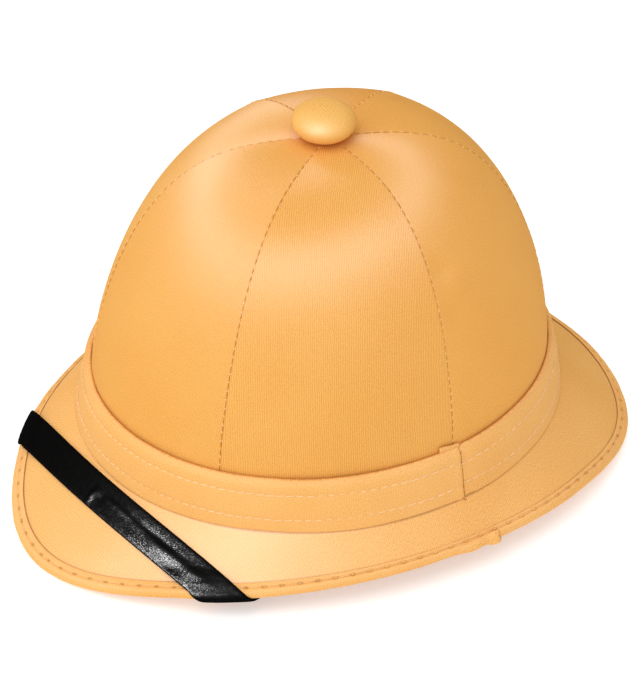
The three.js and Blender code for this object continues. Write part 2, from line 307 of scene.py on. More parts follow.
class Nodes:
    """A small helper that adds shader nodes to a material or a world and links them."""

    def __init__(self, owner):
        self.owner = owner
        owner.use_nodes = True
        self.tree = owner.node_tree

    def add(self, kind, inputs=None, **settings):
        node = self.tree.nodes.new(kind)
        for key, value in settings.items():
            setattr(node, key, value)
        for key, value in (inputs or {}).items():
            self.put(value, node.inputs[key])
        return node

    def put(self, value, socket):
        if isinstance(value, bpy.types.NodeSocket):
            self.tree.links.new(value, socket)
        else:
            socket.default_value = value

    def dress(self, values):
        """Set or link the plain shader's sockets. Its own shine is off: add_shine gives any there is."""
        sockets = self.tree.nodes["Principled BSDF"].inputs
        sockets["Specular IOR Level"].default_value = 0.0
        for key, value in values.items():
            self.put(value, sockets[key])

    def math(self, operation, first, second=0.0):
        return self.add("ShaderNodeMath", {0: first, 1: second}, operation=operation).outputs[0]

    def mix(self, share, first, second, blend="MIX"):
        node = self.add("ShaderNodeMix", data_type="RGBA", blend_type=blend)
        self.put(share, node.inputs["Factor"])
        self.put(first, node.inputs["A"])
        self.put(second, node.inputs["B"])
        return node.outputs["Result"]

    def noise(self, vector, scale, detail=2.0):
        inputs = {"Vector": vector, "Scale": scale, "Detail": detail}
        return self.add("ShaderNodeTexNoise", inputs).outputs["Fac"]

    def span(self, value, low, high, to_low=0.0, to_high=1.0):
        inputs = {0: value, 1: low, 2: high, 3: to_low, 4: to_high}
        return self.add("ShaderNodeMapRange", inputs).outputs[0]

    def bump(self, height, distance, strength=1.0, normal=None):
        inputs = {"Height": height, "Distance": distance, "Strength": strength}
        if normal is not None:
            inputs["Normal"] = normal
        return self.add("ShaderNodeBump", inputs).outputs["Normal"]

    def add_shine(self, share, rough, normal, stretch=0.0, tangent=None):
        """A faint shine laid over the plain shader, just as faint from every side."""
        inputs = {"Color": (share, share, share, 1.0), "Roughness": rough, "Normal": normal}
        shine = self.add("ShaderNodeBsdfAnisotropic", inputs, distribution="GGX")
        if tangent is not None:
            shine.inputs["Anisotropy"].default_value = -stretch
            self.put(tangent, shine.inputs["Tangent"])
        plain = self.tree.nodes["Principled BSDF"]
        both = self.add("ShaderNodeAddShader", {0: plain.outputs[0], 1: shine.outputs[0]})
        self.put(both.outputs[0], self.tree.nodes["Material Output"].inputs["Surface"])


def linear(red, green, blue):
    """A colour from 0 to 255 steps as the shader's linear colour."""
    steps = (np.array((red, green, blue)) / 255 + 0.055) / 1.055
    return (*(steps ** 2.4), 1.0)


CLOTH = linear(240, 175, 91)
CLOTH_DEEP = linear(230, 156, 64)
# Deeper and paler copies of the cloth for single gores: painted shade and painted sheen
CLOTH_PAINTED_SHADE = linear(233, 165, 78)
CLOTH_PAINTED_SHEEN = linear(242, 180, 98)
BUTTON = linear(243, 184, 92)
TRIM = linear(246, 187, 113)
BRIM = linear(243, 182, 103)
# Colour of the painted shade in seams, needle holes, creases and along edges
PAINTED_SHADE_COLOUR = linear(130, 74, 16)
THREAD_PALE = linear(253, 222, 186)
THREAD_GOLD = linear(252, 213, 160)
THREAD_TAN = linear(246, 192, 126)
# Brown of the seam and join stitches: painted shade of thread sunk where shadow falls
SHADED_THREAD_BROWN = linear(196, 126, 42)

# How much lighter or darker than its plain colour the cloth is on and between its ribs and yarns
RIB_HIGH = (1.12, 1.14, 1.2, 1.0)
RIB_LOW = (0.84, 0.8, 0.7, 1.0)
GRAIN_HIGH = (1.1, 1.14, 1.25, 1.0)
GRAIN_LOW = (0.86, 0.84, 0.76, 1.0)

# Cloth: clouds of colour to a metre, slubs and specks of yarn to a millimetre, and depths of its relief
CLOUDS_PER_METRE = 22.0
CLOUD_SHARE = 0.3
SLUBS_PER_MM = 0.3
SPECKS_PER_MM = 1.9
RIB_DEPTH = 0.07 * MM
SPECK_DEPTH = 0.12 * MM
SPECK_STRENGTH = 0.7
CLOTH_ROUGHNESS = (0.58, 0.7)
SHEEN = {"Sheen Weight": 0.05, "Sheen Roughness": 0.4, "Sheen Tint": linear(255, 225, 180)}

# Thread: fuzz to a metre, its depth and its share of the colour
FUZZ_PER_METRE = 2500.0
FUZZ_DEPTH = 0.05 * MM
FUZZ_SHARE = 0.3
THREAD_ROUGHNESS = (0.55, 0.8)

# Leather: its tones, shine and grain
LEATHER_TONES = (linear(5, 4, 3), linear(9, 8, 8))
LEATHER_ROUGHNESS = (0.34, 0.24)
LEATHER_GLOSS = 0.0018
PEBBLES = {"per_mm": 1.45, "depth": 0.065 * MM, "strength": 0.8}
FINE_GRAIN = {"per_mm": 4.0, "depth": 0.03 * MM, "strength": 0.5}
CREASES = {"per_mm": 0.35, "depth": 0.2 * MM, "strength": 0.5}


def weave_lines(nodes, place, angle, pitch):
    """Fine ribs, from 0 to 1, at an angle to the cloth's length, a little uneven like spun yarn."""
    split = nodes.add("ShaderNodeSeparateXYZ", {0: place}).outputs
    turn = math.radians(angle)
    sideways = nodes.math("MULTIPLY", split[0], math.cos(turn))
    lengthways = nodes.math("MULTIPLY", split[1], math.sin(turn))
    along = nodes.math("ADD", sideways, lengthways)
    slub = nodes.math("MULTIPLY", nodes.noise(place, SLUBS_PER_MM), pitch)
    along = nodes.math("ADD", along, slub)
    wave = nodes.math("SINE", nodes.math("MULTIPLY", along, 2 * math.pi / pitch))
    return nodes.span(wave, -1.0, 1.0)


def cloth(name, colour, pitch, rib_angle=0, rib_share=0.4, gloss=0.0016, stretch=0.47, straight=False):
    """Satin cloth: fine ribs, specks of yarn, soft cloudy colour, and painted shade where its mesh is
    marked.
    Its shine stretches straight across the weave, or else round the hat."""
    nodes = Nodes(bpy.data.materials.new(name))
    place = nodes.add("ShaderNodeUVMap", uv_map="weave").outputs[0]
    ribs = weave_lines(nodes, place, rib_angle, pitch)
    body = nodes.add("ShaderNodeTexCoord").outputs["Object"]
    clouds = nodes.span(nodes.noise(body, CLOUDS_PER_METRE, 3.0), 0.3, 0.7, 0.0, CLOUD_SHARE)
    specks = nodes.noise(place, SPECKS_PER_MM)
    tone = nodes.mix(clouds, colour, CLOTH_DEEP)
    grain = nodes.mix(nodes.span(specks, 0.3, 0.7), GRAIN_LOW, GRAIN_HIGH)
    tone = nodes.mix(1.0, tone, grain, "MULTIPLY")
    tone = nodes.mix(rib_share, tone, nodes.mix(ribs, RIB_HIGH, RIB_LOW), "MULTIPLY")
    # Painted shade: the marked places are darkened towards the shade colour
    seam = nodes.add("ShaderNodeAttribute", attribute_name="seam").outputs["Fac"]
    tone = nodes.mix(seam, tone, PAINTED_SHADE_COLOUR)
    rough = nodes.span(specks, 0.25, 0.75, *CLOTH_ROUGHNESS)
    ribbed = nodes.bump(ribs, RIB_DEPTH, rib_share)
    bumped = nodes.bump(specks, SPECK_DEPTH, SPECK_STRENGTH, ribbed)
    nodes.dress({"Base Color": tone, "Roughness": rough, "Normal": bumped, **SHEEN})
    tangent = nodes.add("ShaderNodeTangent", direction_type="RADIAL", axis="Z")
    if straight:
        tangent = nodes.add("ShaderNodeTangent", direction_type="UV_MAP", uv_map="weave")
    nodes.add_shine(gloss, rough, bumped, stretch, tangent.outputs[0])
    return nodes.owner


def thread(name, colour):
    """Spun sewing thread."""
    nodes = Nodes(bpy.data.materials.new(name))
    body = nodes.add("ShaderNodeTexCoord").outputs["Object"]
    fuzz = nodes.noise(body, FUZZ_PER_METRE)
    tone = nodes.mix(nodes.math("MULTIPLY", fuzz, FUZZ_SHARE), colour, CLOTH)
    rough = nodes.span(fuzz, 0.2, 0.8, *THREAD_ROUGHNESS)
    nodes.dress({"Base Color": tone, "Roughness": rough, "Normal": nodes.bump(fuzz, FUZZ_DEPTH)})
    return nodes.owner


def leather(name):
    """Black imitation leather: pebbled grain, creases and a soft gloss worn along the folds."""
    nodes = Nodes(bpy.data.materials.new(name))
    place = nodes.add("ShaderNodeUVMap", uv_map="weave").outputs[0]
    cell_inputs = {"Vector": place, "Scale": PEBBLES["per_mm"]}
    cells = nodes.add("ShaderNodeTexVoronoi", cell_inputs, feature="DISTANCE_TO_EDGE")
    pebbles = nodes.span(cells.outputs["Distance"], 0.0, 0.35)
    creases = nodes.noise(place, CREASES["per_mm"], 5.0)
    fine = nodes.noise(place, FINE_GRAIN["per_mm"], 3.0)
    tone = nodes.mix(nodes.span(creases, 0.4, 0.7), *LEATHER_TONES)
    rough = nodes.span(creases, 0.35, 0.65, *LEATHER_ROUGHNESS)
    bumped = None
    for height, relief in ((pebbles, PEBBLES), (fine, FINE_GRAIN), (creases, CREASES)):
        bumped = nodes.bump(height, relief["depth"], relief["strength"], bumped)
    nodes.dress({"Base Color": tone, "Roughness": rough, "Normal": bumped})
    nodes.add_shine(LEATHER_GLOSS, rough, bumped)
    return nodes.owner


# Crown

GORE_ROWS = 130
FOOT_ROWS = 6
GORE_COLUMNS = 38
SEAM_STEPS = np.array((0.05, 0.2, 0.4, 0.7, 1.1, 1.8, 3.0))
SEAM_DEPTH = 0.15
SEAM_SPREAD = 0.4
SEAM_PUCKER = 0.05
PUCKER_REACH = 2.5
# Painted shade in each seam's groove: its strength, and its spread in millimetres
SEAM_PAINTED_SHADE = 0.12
SEAM_PAINTED_SHADE_SPREAD = 0.3
SEAM_STITCH_PITCH = 3.8
SEAM_STITCH_LENGTH = 2.1
TICK_REACH = (0.35, 0.7)
HALF_GORE = 180 / GORE_COUNT
SEAM_ANGLES = (31, 91, 151, 209, 269, 329)

# Unevenness of the crown's cloth: heights and widths of its waves in millimetres, with their seeds
CROWN_WAVES = ((0.3, 55, 0), (0.05, 14, 9))

# Small dents beside the wearer's left seam: gore number, degrees from its middle, height share,
# spread in millimetres across and up, and depth
DENTS = (
    {"gore": 2, "aside": -25.0, "height": 0.70, "across": 5.0, "up": 4.5, "depth": 0.9},
    {"gore": 2, "aside": -24.5, "height": 0.52, "across": 4.0, "up": 5.0, "depth": 0.7},
    {"gore": 2, "aside": -21.0, "height": 0.61, "across": 7.0, "up": 9.0, "depth": -0.5},
)


def dome_profile():
    """Climbs up the dome, evenly spaced along its side, and the distance up to each."""
    tip = math.degrees(math.acos(GORE_TIP_RADIUS ** (DOME_SQUARENESS / 2))) / 90
    fine = np.linspace(0, tip, FINE_STEPS)
    length = travelled(dome_point(np.full_like(fine, 90.0), fine))
    even = np.linspace(0, length[-1], GORE_ROWS)
    return np.interp(even, length, fine), even


def dome_point(angle, climb):
    """On the smooth dome at an angle, from climb 0 at the band's top to 1 at the crown's tip."""
    turn = np.radians(90 * climb)
    height = np.sin(turn) ** (2 / DOME_FULLNESS)
    from_middle = gore_offset(angle)
    flat = math.cos(math.radians(HALF_GORE)) / np.cos(np.radians(from_middle))
    radius = np.cos(turn) ** (2 / DOME_SQUARENESS) * (1 - GORE_FLATNESS * height * (1 - flat))
    point = oval_point(DOME, angle, 0.0) * radius[..., None]
    point[..., 2] = BAND_HEIGHT + DOME_RISE * height
    return point


def gore_offset(angle):
    """Degrees from the middle of the gore that an angle falls in, stretched to a full half gore."""
    seams = np.array((SEAM_ANGLES[-1] - 360, *SEAM_ANGLES, SEAM_ANGLES[0] + 360), float)
    angle = np.asarray(angle, float)
    shifted = (angle - seams[0]) % 360 + seams[0]
    left = np.clip(np.searchsorted(seams, shifted, side="right") - 1, 0, len(seams) - 2)
    share = (shifted - seams[left]) / (seams[left + 1] - seams[left])
    return (2 * share - 1) * HALF_GORE


def foot_point(angle, share):
    flare = CROWN_FOOT_FLARE * (1 - share)
    return oval_point((DOME[0] + flare, DOME[1] + flare), angle, BAND_HEIGHT * share)


def gore_columns(half_width):
    """Distances across a gore from its middle, close together beside its seams."""
    edge = SEAM_STEPS * min(1.0, 0.3 * half_width / SEAM_STEPS[-1])
    middle = np.linspace(-(half_width - edge[-1]), half_width - edge[-1], GORE_COLUMNS)
    return np.concatenate([edge[:-1] - half_width, middle, (half_width - edge[:-1])[::-1]])


def gore_surface(number):
    """A gore's smooth outer grid, with distances across it, up it and from its nearer seam."""
    first, last = SEAM_ANGLES[number - 1], SEAM_ANGLES[number]
    if number == 0:
        first -= 360
    middle, half = (first + last) / 2, (last - first) / 2
    climbs, lengths = dome_profile()
    foot_shares = np.linspace(0, 1, FOOT_ROWS, endpoint=False)
    points, across, up, seam = [], [], [], []
    for row in range(FOOT_ROWS + GORE_ROWS):
        on_foot = row < FOOT_ROWS
        climb = 0.0 if on_foot else climbs[row - FOOT_ROWS]
        rise = BAND_HEIGHT * (foot_shares[row] - 1) if on_foot else lengths[row - FOOT_ROWS]
        edge = dome_point(np.array((float(last) - 0.01,)), np.array((climb,)))[0]
        half_width = math.hypot(edge[0], edge[1]) * math.radians(half)
        offsets = gore_columns(half_width)
        angles = middle + offsets / half_width * half
        on_dome = dome_point(angles, np.full_like(angles, climb))
        points.append(foot_point(angles, foot_shares[row]) if on_foot else on_dome)
        across.append(offsets)
        up.append(np.full_like(offsets, rise))
        seam.append(half_width - np.abs(offsets))
    return (np.array(part) for part in (points, across, up, seam))


def gore_relief(number, points, across, up, seam):
    """How far the cloth stands off the smooth dome: seams, puckers, dents and a slight unevenness."""
    relief = -SEAM_DEPTH * bell(seam, 0, SEAM_SPREAD)
    relief += SEAM_PUCKER * np.sin(2 * np.pi * up / SEAM_STITCH_PITCH) * np.exp(-seam / PUCKER_REACH)
    relief += unevenness(points, CROWN_WAVES, number)
    for dent in DENTS:
        if dent["gore"] != number:
            continue
        row = np.argmin(np.abs(points[:, 0, 2] - BAND_HEIGHT - DOME_RISE * dent["height"]))
        half_width = across[row].max()
        aside = (across - half_width * dent["aside"] / HALF_GORE) / dent["across"]
        upward = (up - up[row, 0]) / dent["up"]
        relief -= dent["depth"] * np.exp(-(aside ** 2) - upward ** 2)
    return relief


def make_gore(name, number, material):
    points, across, up, seam = gore_surface(number)
    normals = grid_normals(points)
    outward = np.sign((normals * (points - (0, 0, BAND_HEIGHT))).sum(-1, keepdims=True))
    normals = normals * outward
    relief = gore_relief(number, points, across, up, seam)
    outer = points + normals * relief[..., None]
    inner = points - normals * CROWN_WALL
    weave = np.stack([across, up], -1)
    # Painted shade along the seam's groove
    painted_shade = SEAM_PAINTED_SHADE * bell(seam, 0, SEAM_PAINTED_SHADE_SPREAD)
    replaces = ("crown_gore_" + name,)
    return shell("gore_" + name, outer, inner, False, material, weave, painted_shade, replaces=replaces)


def seam_frame(angle, rise, climbs, lengths):
    """A point of a seam so far up it, with the directions up, across and outwards there."""
    climb = np.interp(rise, lengths, climbs)
    ladder = dome_point(np.full(3, float(angle)), climb + np.array((-0.001, 0.0, 0.001)))
    point = ladder[1]
    upward = unit(ladder[2] - ladder[0])
    aside = unit(np.cross(upward, point - (0, 0, BAND_HEIGHT)))
    outward = np.cross(aside, upward)
    return point, upward, aside, outward * np.sign(outward @ (point - (0, 0, BAND_HEIGHT)))


def make_seam_stitches(brown, gold):
    """Stitches along each crown seam, their brown painted shade, with a golden tick across the seam between
    them.
    """
    climbs, lengths = dome_profile()
    stitches, ticks = [], []
    half = SEAM_STITCH_LENGTH / 2
    stitch_sink, tick_sink = STITCHES["seam_stitches"]["sink"], STITCHES["seam_ticks"]["sink"]
    for angle in SEAM_ANGLES:
        for rise in np.arange(1.0, lengths[-1] - SEAM_STITCH_PITCH, SEAM_STITCH_PITCH):
            rise += stray(0.3)
            point, upward, aside, outward = seam_frame(angle, rise, climbs, lengths)
            drift = aside * stray(0.15)
            seat = point - outward * stitch_sink
            stitches.append((seat - upward * half - drift, seat + upward * half + drift, outward))
            point, upward, aside, outward = seam_frame(angle, rise + SEAM_STITCH_PITCH / 2, climbs, lengths)
            tick = aside * random.uniform(*TICK_REACH) + upward * stray(0.5)
            seat = point + aside * stray(0.25) - outward * tick_sink
            ticks.append((seat - tick, seat + tick, outward))
    threads("seam_stitches", stitches, brown)
    threads("seam_ticks", ticks, gold)


# Button: how far it sits off the crown's middle, how far down its cover goes in radians from its
# waist, and the gathers of its cloth underneath

BUTTON_ROWS = 64
BUTTON_COLUMNS = 128
BUTTON_SHIFT = (-1.4, -1.8)
BUTTON_FOOT = -1.35
BUTTON_TIP_GAP = 0.002
BUTTON_ROUNDNESS = 0.92
BUTTON_GATHERS = 22
BUTTON_GATHER_DEPTH = 0.035
BUTTON_WAVES = ((0.12, 7, 3),)


def make_button(material):
    """The covered button: a flattened ball, its cloth drawn in underneath, set a little askew."""
    turn = np.linspace(BUTTON_FOOT, math.pi / 2 - BUTTON_TIP_GAP, BUTTON_ROWS)[None]
    angle = np.linspace(0, 2 * np.pi, BUTTON_COLUMNS, endpoint=False)[:, None]
    folds = 0.5 + 0.5 * np.cos(BUTTON_GATHERS * angle)
    gather = 1 - BUTTON_GATHER_DEPTH * smooth(-0.3, -1.2, turn) * folds
    radius = BUTTON_RADIUS * np.cos(turn) ** BUTTON_ROUNDNESS * gather
    half = BUTTON_HEIGHT / 2
    x = radius * np.cos(angle) + BUTTON_SHIFT[0]
    y = radius * np.sin(angle) + BUTTON_SHIFT[1]
    z = BAND_HEIGHT + DOME_RISE + half + half * np.sin(turn) + 0 * angle
    points = np.stack([x, y, z], -1)
    points += unevenness(points, BUTTON_WAVES)[..., None]
    corner = np.arange(BUTTON_COLUMNS * BUTTON_ROWS).reshape(BUTTON_COLUMNS, BUTTON_ROWS)
    after = np.roll(corner, -1, axis=0)
    quads = np.stack([corner[:, :-1], after[:, :-1], after[:, 1:], corner[:, 1:]], -1).reshape(-1, 4)
    faces = [*quads, corner[:, -1], corner[::-1, 0]]
    from_top = (math.pi / 2 - turn) * (BUTTON_RADIUS + half) / 2
    weave = np.stack([from_top * np.sin(angle), from_top * np.cos(angle)], -1).reshape(-1, 2)
    flat = points.reshape(-1, 3)
    return make_mesh("button", flat, faces, material, weave, None, ("top_button",))


# Band

BAND_STEPS = 560
BAND_FACE_POINTS = 34
STITCH_ROWS = (0.247, 0.724)
BAND_STITCH_PITCH = 4.2
BAND_STITCH_LENGTH = 3.5
BAND_STITCH_SLANT = 0.006
BAND_FOOT_LIFT = 0.15
BAND_FOOT_TURN = {"depth": 0.4, "height": 0.3}
BAND_TOP_ROLL = {"depth": 1.3, "height": 4.5}
BAND_TOP_TUCK = 1.2
BAND_BELLY = {"height": 0.15, "share": 0.49, "spread": 0.18}
BAND_SWAY = (0.35, 30, 5)
BAND_TOP_WAVE = (0.3, 25, 11)
STITCH_DENT = {"depth": 0.3, "spread": 0.75}

# The band's join: degrees of fine steps to each side, folds by their distance from it and height,
# the notch in its top edge, and the painted shade in the crevice of the join
JOIN_REACH = 2.2
JOIN_STEPS = 60
JOIN_GAP = 0.1
JOIN_FOLDS = (
    {"from": 0.0, "spread": 0.24, "height": -0.6},
    {"from": -2.0, "spread": 1.6, "height": 0.35},
    {"from": 2.5, "spread": 2.0, "height": -0.3},
)
JOIN_NOTCH = {"from": 0.6, "spread": 0.7, "depth": 0.9}
JOIN_PAINTED_SHADE = 0.4
JOIN_PAINTED_SHADE_SPREAD = 0.25
JOIN_STITCH_SHARES = np.arange(0.06, 0.94, 0.115)
JOIN_STITCH_HEIGHT = 0.075

# The folded end of the band: degrees from the join, how far it peeps out over the band, the share of
# the band's height where it starts, its thickness and its folds
TAB_ROWS = 40
TAB_COLUMNS = 26
TAB_REACH = (-5.2, 0.3)
TAB_PEEP = (2.6, 1.2)
TAB_FOOT = 0.55
TAB_THICKNESS = 0.7
TAB_GAP = 0.6
TAB_CURL = 0.8
TAB_WAVES = ((0.25, 3, 2),)


def row_share(row, angle):
    """A stitch row's share of the band's height; both rows draw together just behind the join."""
    behind = np.asarray(angle, float) - BAND_JOIN_ANGLE
    draw = np.where(behind > 0, 0.05 * np.exp(-np.maximum(behind, 0) / 12), 0.0)
    return row + draw * np.sign(0.5 - row)


def band_point(angle, share, outward):
    """On the band's plain outer face at a share of its height, moved outwards."""
    half = [RING[k] + (BAND_TOP[k] + BAND_THICKNESS - RING[k]) * share + outward for k in (0, 1)]
    width, cos, sin = brim_slope(angle)
    foot = (BAND_FOOT_LIFT - outward * sin) / cos
    return oval_point(half, angle, foot + (BAND_HEIGHT - foot) * share)


def join_distance(angle):
    """Millimetres round the band from its join."""
    return (angle - BAND_JOIN_ANGLE) * RING[0] * math.radians(1)


def band_relief(angle, share):
    """How far the band's cloth stands off its plain face."""
    height = share * BAND_HEIGHT
    roll = smooth(BAND_HEIGHT - BAND_TOP_ROLL["height"], BAND_HEIGHT, height) ** 2
    relief = -BAND_FOOT_TURN["depth"] * np.exp(-height / BAND_FOOT_TURN["height"])
    relief = relief - BAND_TOP_ROLL["depth"] * roll
    for row in STITCH_ROWS:
        middle = row_share(row, angle) * BAND_HEIGHT
        relief = relief - STITCH_DENT["depth"] * bell(height, middle, STITCH_DENT["spread"])
    relief = relief + BAND_BELLY["height"] * bell(share, BAND_BELLY["share"], BAND_BELLY["spread"])
    for fold in JOIN_FOLDS:
        relief = relief + fold["height"] * bell(join_distance(angle), fold["from"], fold["spread"])
    return relief


def make_band(material):
    near_join = np.linspace(-JOIN_REACH, JOIN_REACH, JOIN_STEPS) + 360
    beyond_join = np.linspace(JOIN_REACH + JOIN_GAP, 360 - JOIN_REACH - JOIN_GAP, BAND_STEPS)
    angles = BAND_JOIN_ANGLE + np.concatenate([beyond_join, near_join])
    shares = np.linspace(0, 1, BAND_FACE_POINTS)
    angle, share = np.meshgrid(angles, shares, indexing="ij")
    around = (angle - BAND_JOIN_ANGLE + 180) % 360 - 180 + BAND_JOIN_ANGLE
    plain = band_point(angle, share, 0.0)
    sway = unevenness(plain * (1, 1, 0.3), (BAND_SWAY,))
    outer = band_point(angle, share, band_relief(around, share) + sway)
    from_join = join_distance(around)
    notch = JOIN_NOTCH["depth"] * bell(from_join, JOIN_NOTCH["from"], JOIN_NOTCH["spread"])
    outer[..., 2] += unevenness(plain * (1, 1, 0), (BAND_TOP_WAVE,)) * share
    outer[..., 2] -= notch * smooth(0.9, 1.0, share)
    inner = band_point(angle, share, sway - BAND_THICKNESS - BAND_TOP_TUCK * smooth(0.8, 1.0, share))
    inner[..., 2] = np.minimum(inner[..., 2], outer[..., 2] - 0.15 * (share > 0.99))
    weave = np.stack([np.radians(around) * BAND_RADIUS, share * BAND_HEIGHT], -1)
    # Painted shade in the crevice where the band's ends meet
    painted_shade = JOIN_PAINTED_SHADE * bell(from_join, 0, JOIN_PAINTED_SHADE_SPREAD)
    return shell("band", outer, inner, True, material, weave, painted_shade, replaces=("hat_band",))


def make_band_stitches(material):
    """Two rows of pale topstitching round the band."""
    stitches = []
    half = math.degrees(BAND_STITCH_LENGTH / 2 / BAND_RADIUS)
    sink = STITCHES["band_stitches"]["sink"]
    for row in STITCH_ROWS:
        angles = even_angles(lambda angle: band_point(angle, row, 0.0), BAND_STITCH_PITCH)[:-1]
        for angle in angles - 180 + BAND_JOIN_ANGLE:
            ends = np.array((angle - half, angle + half + stray(0.15)))
            slant = np.array((-BAND_STITCH_SLANT, BAND_STITCH_SLANT)) + stray(0.004)
            start, end = band_point(ends, row_share(row, angle) + slant, -sink)
            stitches.append((start, end, ring_normal(np.array(angle))))
    return threads("band_stitches", stitches, material)


def make_join_stitches(material):
    """Brown stitches down the band's join, and a loose end of thread below it; their brown is painted
    shade.
    """
    outward = ring_normal(np.array(float(BAND_JOIN_ANGLE)))
    sink = STITCHES["join_stitches"]["sink"]
    stitches = []
    for share in JOIN_STITCH_SHARES:
        lean = stray(0.12)
        ends = BAND_JOIN_ANGLE + np.array((-lean, lean))
        start, end = band_point(ends, np.array((share, share + JOIN_STITCH_HEIGHT)), -sink)
        stitches.append((start, end, outward))
    start, end = band_point(BAND_JOIN_ANGLE + np.array((-0.7, 0.35)), np.array((0.04, -0.02)), 0.35)
    stitches.append((start, end, outward))
    return threads("join_stitches", stitches, material)


def make_band_tab(material):
    """The folded end of the band, peeping out above the join."""
    angles = BAND_JOIN_ANGLE + np.linspace(*TAB_REACH, TAB_ROWS)
    top = 1 + np.linspace(*TAB_PEEP, TAB_ROWS) / BAND_HEIGHT
    share = np.linspace(TAB_FOOT, 1.0, TAB_COLUMNS)
    climb = TAB_FOOT + (share - TAB_FOOT) / (1 - TAB_FOOT) * (top[:, None] - TAB_FOOT)
    points = band_point(np.repeat(angles[:, None], TAB_COLUMNS, axis=1), climb, 0.0)
    outward = ring_normal(angles)[:, None]
    curl = TAB_CURL * smooth(0.85, 1.0, share)[None, :, None]
    fold = unevenness(points, TAB_WAVES)[..., None]
    outer = points + outward * (fold - BAND_THICKNESS - TAB_GAP + curl)
    inner = outer - outward * TAB_THICKNESS
    weave = grid(np.radians(angles) * BAND_RADIUS, share * BAND_HEIGHT)
    replaces = ("band_join_tab",)
    return shell("band_tab", outer, inner, False, material, weave, replaces=replaces)


# Brim and its binding

BRIM_STEPS = 480
BRIM_ROOT_STEPS = (-1.6, -1.0, -0.6, -0.3, 0.0, 0.3, 0.6, 1.0)
BRIM_OPEN_POINTS = 24
BRIM_EDGE_STEPS = (-1.2, -0.8, -0.5, -0.25, 0.0, 0.25, 0.5, 1.0)
BRIM_WAVE = (0.5, 38, 21)

# The binding: points of its section over, round and under the edge, the tape's inner edge where it
# lies close and where it stands open, and the needle holes along it
RIM_STEP = 0.62
RIM_POINTS = {"over": 17, "round": 15, "under": 6}
EDGE_STEP = 0.2
EDGE_STEP_OPEN = 0.75
TAPE_TAPER = 1.2
TAPE_LIP = {"spread": 0.3, "depth": 0.2}
BINDING_WAVES = ((0.14, 9, 31), (0.06, 3, 37))
HOLE_PITCH = 7.7
HOLE_MARGIN = 0.9
HOLE_INSET = 4.3
HOLE = {"along": 0.85, "across": 0.5, "depth": 0.6}
HOLE_CREASE = {"spread": 0.35, "depth": 0.3}

# Painted shade lines: how strong each is at the hat's sides, and how much is added at its front and back
EDGE_PAINTED_SHADE = (0.1, 0.65)
HOLE_PAINTED_SHADE = (0.8, -0.35)
CREASE_PAINTED_SHADE = (0.4, -0.3)
EDGE_PAINTED_SHADE_SPREAD = 0.35
DARKEST_PAINTED_SHADE = 0.9

# The painted shadow along the band's foot: how strong it is all round, and how much is added from
# the front to the band's join
FOOT_PAINTED_SHADOW = (0.15, 0.3)

# The binding's loose end
BINDING_END_ANGLE = 96.5
BINDING_END_LENGTH = 20
BINDING_END_ROWS = 90
BINDING_END_TURNS = 40
BINDING_END_WRAP = 0.62 * math.pi
BINDING_END_THICKNESS = 0.7
BINDING_END_WAVES = ((0.3, 4, 51), (0.15, 1.5, 53))
# Painted shade at the raw end, on the outside and the inside of the fold
BINDING_END_PAINTED_SHADE = 0.5


def edge_open(angle):
    """How far the tape's inner edge stands open: 0 at the hat's sides, 1 at its front and back."""
    return np.cos(np.radians(angle)) ** 2


def side_painted_shade(strengths, angle):
    """A painted shade line's strength at an angle."""
    return strengths[0] + strengths[1] * edge_open(angle)


def tape_width(angle):
    """The width of the binding's flat side: it is folded over further at the hat's sides."""
    return BINDING_WIDTH - TAPE_TAPER * (1 - edge_open(angle))


def foot_painted_shadow(angle):
    """How dark the painted shadow along the band's foot is: darkest from the front to the band's join."""
    from_front = (np.asarray(angle, float) + 180) % 360 - 180
    past_join = smooth(BAND_JOIN_ANGLE + 2, BAND_JOIN_ANGLE + 18, from_front)
    return FOOT_PAINTED_SHADOW[0] + FOOT_PAINTED_SHADOW[1] * smooth(-20, 20, from_front) * (1 - past_join)


def make_brim(material):
    angles = np.linspace(0, 360, BRIM_STEPS, endpoint=False)
    width, cos, sin = (part[:, None] for part in brim_slope(angles))
    edge = width - tape_width(angles)[:, None]
    root_steps = np.broadcast_to(BRIM_ROOT_STEPS, (BRIM_STEPS, len(BRIM_ROOT_STEPS)))
    share = np.linspace(0, 1, BRIM_OPEN_POINTS + 2)[1:-1]
    first, last = BRIM_ROOT_STEPS[-1], edge + BRIM_EDGE_STEPS[0]
    open_steps = first + (last - first) * share
    between = np.concatenate([root_steps, open_steps, edge + np.array(BRIM_EDGE_STEPS)], axis=1)

    def face(above):
        root = (-BRIM_ROOT_INSET - above * sin) / cos
        down = np.concatenate([root, between, width - RIM_RADIUS], axis=1)
        angle = np.broadcast_to(angles[:, None], down.shape)
        points = brim_point(angle, down, 0.0 * down + above)
        calm = smooth(0, 8, edge - down) * smooth(-1, 6, down)
        wave = unevenness(points * (1, 1, 0.2), (BRIM_WAVE,)) * calm
        return points + brim_normal(angle) * wave[..., None], down

    outer, down = face(0.0)
    inner = face(-BRIM_THICKNESS)[0]
    weave = outer[..., [1, 0]]
    # Painted shadow along the tape's inner edge, where the binding stands off the brim
    painted_shade = side_painted_shade(EDGE_PAINTED_SHADE, angles)[:, None] * bell(edge - down, 0, EDGE_PAINTED_SHADE_SPREAD)
    # Painted shadow on the brim just under the band's foot
    painted_shade = painted_shade + foot_painted_shadow(angles)[:, None] * (1 - smooth(-0.5, 0.15, down))
    return shell("brim_cloth", outer, inner, True, material, weave, painted_shade, replaces=("brim",))


